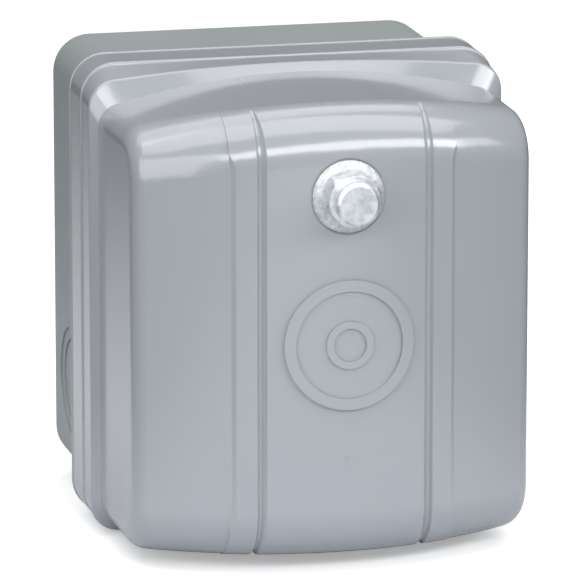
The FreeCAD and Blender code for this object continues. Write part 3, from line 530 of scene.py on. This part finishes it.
x0, x1, f0, f1, z0, z1 = node_mm("reset_spring")
radius = (x1 - x0) / 2
verts, faces = spring((x0 + x1) / 2, (z0 + z1) / 2, radius - 0.25, 0.24, f0, f1, turns=7)
reset = piece("reset_spring_coil", verts, faces, "spring_steel", "enclosure_base", ["reset_spring"], 80)
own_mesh(reset)

x0, x1, f0, f1, z0, z1 = node_mm("contact_springs")
radius = (z1 - z0) / 2
POLES = 4
pitch = (x1 - x0 - 2 * radius) / (POLES - 1)
coils = []
for i in range(POLES):
    coils.append(spring(x0 + radius + i * pitch, (z0 + z1) / 2, radius - 0.3, 0.27, f0, f1, turns=5))
verts, faces = merge(coils)
piece("contact_spring_coils", verts, faces, "spring_steel", "armature_set", ["contact_springs"], 80)


# ------------------------------------------------------------------ wound coil


x0, x1, f0, f1, z0, z1 = node_mm("coil_winding")
cx, cz = (x0 + x1) / 2, (z0 + z1) / 2
half_w, half_h = (x1 - x0) / 2, (z1 - z0) / 2
TURNS = 20
LOOPS_PER_TURN = 6
LOOPS = TURNS * LOOPS_PER_TURN
GROOVE = 0.28
CROWN = 0.35
COIL_CORNER = 4.0
BORE_HALF_W, BORE_HALF_H, BORE_CORNER = 7.65, 8.65, 0.4
rows = [rounded_loop(BORE_HALF_W, BORE_HALF_H, BORE_CORNER, cx, cz, f0)]
for i in range(LOOPS + 1):
    f = f0 + (f1 - f0) * i / LOOPS
    sag = GROOVE * (1 - abs(math.sin(math.pi * i / LOOPS_PER_TURN)))
    crown = CROWN * (2 * i / LOOPS - 1) ** 2
    rows.append(rounded_loop(half_w - sag - crown, half_h - sag - crown, COIL_CORNER, cx, cz, f))
rows.append(rounded_loop(BORE_HALF_W, BORE_HALF_H, BORE_CORNER, cx, cz, f1))
verts, faces = skin(rows, wrap=True)
piece("coil_winding_turns", verts, faces, "enamel_copper", "enclosure_base", ["coil_winding"], 60)

# Section of a band of tape: height over the wire's grooves, and place across the band.
TAPE_SECTION = ((0.02, -1.6), (0.14, -1.5), (0.14, 1.5), (0.02, 1.6), (-0.4, 1.6), (-0.4, -1.6))
TAPE_BED = 0.25
TAPE_FROM_END = 3.0
tape = []
for f in (f0 + TAPE_FROM_END, f1 - TAPE_FROM_END):
    rows = []
    for k, d in TAPE_SECTION:
        rows.append(rounded_loop(half_w + k - TAPE_BED, half_h + k - TAPE_BED, COIL_CORNER, cx, cz, f + d))
    tape.append(skin(rows, wrap=True))
verts, faces = merge(tape)
piece("coil_tape_bands", verts, faces, "dial_white", "enclosure_base", (), 50)


# ------------------------------------------------------------------ threaded stud


x0, x1, f0, f1, z0, z1 = node_mm("cover_stud")
sx, sz, sr = (x0 + x1) / 2, (z0 + z1) / 2, (x1 - x0) / 2
THREAD = JOINT["nut_back_off"]["range_m"][1] / (JOINT["nut_turn"]["range_deg"][1] / 360.0) / MM
THREAD_DEPTH = 0.5
SIDES = 28
STEPS_PER_THREAD = 8
BEHIND_LOCKNUT = 4.0
RUN_IN = 2.0
CHAMFER_LENGTH, CHAMFER = 1.0, 0.5
INSIDE_CAD = 0.004
thread_start = node_mm("stud_locknut")[2] - BEHIND_LOCKNUT
count = int((f1 - f0) / THREAD * STEPS_PER_THREAD)
rows = []
for i in range(count + 1):
    f = f0 + (f1 - f0) * i / count
    grow = min(max((f - thread_start) / RUN_IN, 0.0), 1.0)
    taper = min(max((f - (f1 - CHAMFER_LENGTH)) / CHAMFER_LENGTH, 0.0), 1.0)
    row = []
    for j in range(SIDES):
        a = 2 * math.pi * j / SIDES
        phase = (f / THREAD + a / (2 * math.pi)) % 1.0
        groove = min(1.0, max(0.0, abs(2 * phase - 1) * 1.2 - 0.1))
        r = sr - INSIDE_CAD - grow * THREAD_DEPTH * groove - taper * CHAMFER
        row.append(point(sx + r * math.cos(a), f, sz + r * math.sin(a)))
    rows.append(row)
verts, faces = skin(rows)
piece("cover_stud_threaded", verts, faces, "zinc_steel", "enclosure_base", ["cover_stud"], 55)


# ------------------------------------------------------------------ conical washer


x0, x1, f0, f1, z0, z1 = node_mm("nut_washer")
wr = (x1 - x0) / 2


def turned(r, f, a):
    """Faint lathe rings on the cone, and a slight waviness of its rim."""
    if f < f0 + 0.5 or r < 5.5 or r > wr - 0.3:
        return 0.0
    return -0.02 * (0.5 + 0.5 * math.cos(a * 5 + r)) - 0.015 * (0.5 + 0.5 * math.cos(r * 16))


hx = (x0 + x1) / 2
hz = (z0 + z1) / 2
HOLE_R = 4.3
RIM_INSET, RIM_HEIGHT = 0.15, 0.62
CONE_WIDTH, CONE_CURVE, CONE_STEPS = 1.65, 1.15, 8
cone_rise = f1 - 0.04 - f0 - RIM_HEIGHT
profile = [(HOLE_R, f0), (wr - 0.2, f0), (wr, f0 + 0.15), (wr, f0 + 0.45), (wr - RIM_INSET, f0 + RIM_HEIGHT)]
for i in range(1, CONE_STEPS + 1):
    r = wr - RIM_INSET - CONE_WIDTH * i / CONE_STEPS
    profile.append((r, f0 + RIM_HEIGHT + cone_rise * (i / CONE_STEPS) ** CONE_CURVE))
profile += [(6.6, f1 - 0.02), (HOLE_R + 0.1, f1 - 0.02), (HOLE_R, f1 - 0.12)]
verts, faces = revolve(profile, hx, hz, 160, turned)
rings = turned_face("zinc_turned", (hx * MM, 0.0, hz * MM), pale=(0.76, 0.78, 0.80), dark=(0.47, 0.49, 0.51))
piece("nut_washer_turned", verts, faces, "zinc_steel", "washer", ["nut_washer"], 50, rings)


# ------------------------------------------------------------------ heater wraps


x0, x1, f0, f1, z0, z1 = node_mm("bimetal_strips")
STRIPS = 3
STRIP_W = 1.0
WRAP_TURNS, WRAP_STEPS, WRAP_PITCH = 9, 20, 1.35
WRAP_HALF_W, WRAP_HALF_H = 0.95, 3.5
WRAP_START = 3
pitch = (x1 - x0 - STRIP_W) / (STRIPS - 1)
wraps = []
for i in range(STRIPS):
    strip_x = x0 + STRIP_W / 2 + i * pitch
    path = []
    for k in range(WRAP_TURNS * WRAP_STEPS + 1):
        t = k / WRAP_STEPS
        a = 2 * math.pi * t
        z = (z0 + z1) / 2 + WRAP_HALF_H * math.sin(a)
        path.append(point(strip_x + WRAP_HALF_W * math.cos(a), f0 + WRAP_START + t * WRAP_PITCH, z))
    wraps.append(tube(path, 0.3 * MM, 8))
verts, faces = merge(wraps)
piece("heater_wire_wraps", verts, faces, "heater_alloy", "enclosure_base", (), 80)


# ------------------------------------------------------------------ control wires


BARE_LENGTH = 2.5
BARE_R = 0.55
LEAD_R = 1.5


def wire(name, pts, slot, radius=1.05):
    """Insulated wire through the points, with a short bare end at each terminal."""
    path = smooth_path([point(*p) for p in pts], 12)
    verts, faces = tube(path, radius * MM, 14)
    piece(name, verts, faces, slot, "enclosure_base", (), 60)
    first = [path[0] + (path[0] - path[1]).normalized() * (BARE_LENGTH * MM), path[0]]
    last = [path[-1], path[-1] + (path[-1] - path[-2]).normalized() * (BARE_LENGTH * MM)]
    ends = [tube([a, a.lerp(b, 0.5), b], BARE_R * MM, 10) for a, b in (first, last)]
    verts, faces = merge(ends)
    piece(name + "_strands", verts, faces, "copper", "enclosure_base", (), 60)


seal_in = [(21, 51, 28.2), (23, 51.5, 31), (31, 49, 31), (35, 40, 24), (35, 34, 0), (35, 36, -24),
           (34.5, 46, -38), (32.2, 49, -43)]
common = [(21, 51, -24.5), (22, 52, -25.6), (31, 50, -24), (33, 30, -18), (32.6, 14, -6), (33, 12, 8)]
wire("control_wire_seal_in", seal_in, "wire_red")
wire("control_wire_common", common, "wire_blue")

LEADS = {
    "left": [(-21, 51.5, 28.2), (-21, 51.5, 33), (-22, 45, 42), (-30, 30, 46), (-38, 16, 44), (-44, 12, 34)],
    "middle": [(-7, 51.5, 28.2), (-8, 51.5, 34), (-14, 46, 45), (-26, 34, 49), (-37, 22, 46),
               (-43.5, 16, 36)],
    "right": [(7, 51.5, 28.2), (9, 52, 33), (12, 48, 46), (26, 34, 49), (37, 22, 46), (43.5, 16, 36)],
}
for side, pts in LEADS.items():
    wire("line_lead_" + side, pts, "wire_black", LEAD_R)


# ------------------------------------------------------------------ stage, light, camera


FLOOR_SIZE = 3.0
FLOOR_CELLS = 24
FLOOR_GAP = 0.0004
FLOOR_GLOW = 0.34
# The camera sees a pale floor. Reflections and bounced light see a bright strip along the middle of it
# and a dark floor beside that; the change runs between these two distances from the middle.
SEEN_DARKER, SEEN_PALER = (0.93, 0.93, 0.93), (0.96, 0.96, 0.96)
STRIP, BESIDE = (0.64, 0.66, 0.69), (0.10, 0.105, 0.11)
STRIP_EDGE, BESIDE_FROM = 0.09, 0.20


def floor_material():
    mat, nt, bsdf = new_material("floor_white")
    v = object_coords(nt)
    seen = nt.nodes.new("ShaderNodeLightPath").outputs["Is Camera Ray"]
    pale = mix_colour(nt, spread(nt, noise(nt, v, scale=3.0), 0, 1), SEEN_DARKER, SEEN_PALER)
    place = nt.nodes.new("ShaderNodeSeparateXYZ")
    nt.links.new(v, place.inputs[0])
    aside = calculate(nt, "ShaderNodeMath", "ABSOLUTE", place.outputs["X"])["Value"]
    beside = spread(nt, aside, 0.0, 1.0, from_low=STRIP_EDGE, from_high=BESIDE_FROM)
    bounce = mix_colour(nt, beside, STRIP, BESIDE)
    nt.links.new(mix_colour(nt, seen, bounce, pale), bsdf.inputs["Base Color"])
    bsdf.inputs["Roughness"].default_value = 0.9
    bsdf.inputs["Specular IOR Level"].default_value = 0.1
    bsdf.inputs["Emission Color"].default_value = (1.0, 1.0, 1.0, 1.0)
    glow = spread(nt, seen, 0.0, FLOOR_GLOW, from_low=0.0, from_high=1.0)
    nt.links.new(glow, bsdf.inputs["Emission Strength"])
    return mat


def pale_floor():
    low = cad_bounds[0].z - FLOOR_GAP
    rows = []
    for i in range(FLOOR_CELLS + 1):
        y = FLOOR_SIZE * (0.5 - i / FLOOR_CELLS)
        rows.append([Vector((FLOOR_SIZE * (j / FLOOR_CELLS - 0.5), y, low)) for j in range(FLOOR_CELLS + 1)])
    verts, faces = skin(rows, closed_rows=False, cap=False)
    mesh = bpy.data.meshes.new("floor")
    mesh.from_pydata([tuple(v) for v in verts], [], [tuple(reversed(f)) for f in faces])
    mesh.update()
    floor = bpy.data.objects.new("floor", mesh)
    bpy.context.scene.collection.objects.link(floor)
    mesh.materials.append(floor_material())


pale_floor()

WORLD_COLOUR = (0.95, 0.975, 1.0, 1.0)
WORLD_STRENGTH = 0.21
world = bpy.data.worlds.new("studio")
bpy.context.scene.world = world
world.use_nodes = True
sky = world.node_tree.nodes["Background"]
sky.inputs["Color"].default_value = WORLD_COLOUR
sky.inputs["Strength"].default_value = WORLD_STRENGTH

TARGET = Vector((0.0, -0.060, 0.0))


def towards(azimuth, elevation):
    """Unit vector away from the part. azimuth is in degrees from the front towards +X."""
    a = math.radians(azimuth)
    e = math.radians(elevation)
    return Vector((math.sin(a) * math.cos(e), -math.cos(a) * math.cos(e), math.sin(e)))


def softbox(name, azimuth, elevation, distance, width, height, power):
    """Rectangular light facing the part. Sizes are in metres and power in watts."""
    light = bpy.data.lights.new(name, "AREA")
    light.shape = "RECTANGLE"
    light.size = width
    light.size_y = height
    light.energy = power
    obj = bpy.data.objects.new(name, light)
    away = towards(azimuth, elevation)
    obj.location = TARGET + away * distance
    obj.rotation_mode = "QUATERNION"
    obj.rotation_quaternion = (-away).to_track_quat("-Z", "Y")
    bpy.context.scene.collection.objects.link(obj)


softbox("top_front_box", azimuth=0, elevation=79, distance=1.0, width=2.0, height=0.68, power=8.76)
softbox("top_back_box", azimuth=200, elevation=66, distance=1.0, width=1.5, height=0.44, power=2.9)
softbox("front_box", azimuth=14, elevation=30, distance=1.0, width=1.7, height=0.26, power=8.47)
softbox("side_box", azimuth=62, elevation=23, distance=1.0, width=0.42, height=0.20, power=0.74)
softbox("left_panel", azimuth=-55, elevation=12, distance=1.3, width=1.0, height=1.0, power=7.23)

# The view of the photo, as fitted to the edges of the object.
CAMERA_AZIMUTH = -13.63
CAMERA_ELEVATION = 13.06
CAMERA_DISTANCE = 1.6125
CAMERA_LENS = 395.0
CAMERA_SHIFT_X = -0.0068
back = towards(CAMERA_AZIMUTH, CAMERA_ELEVATION)
camera_data = bpy.data.cameras.new("camera")
camera = bpy.data.objects.new("camera", camera_data)
bpy.context.scene.collection.objects.link(camera)
camera.location = TARGET + back * CAMERA_DISTANCE
camera.rotation_mode = "QUATERNION"
camera.rotation_quaternion = (-back).to_track_quat("-Z", "Y")
camera_data.sensor_width = 36.0
camera_data.lens = CAMERA_LENS
camera_data.shift_x = CAMERA_SHIFT_X
camera_data.clip_start = 0.05
camera_data.clip_end = 20.0
bpy.context.scene.camera = camera
bpy.context.scene.view_settings.view_transform = "Standard"
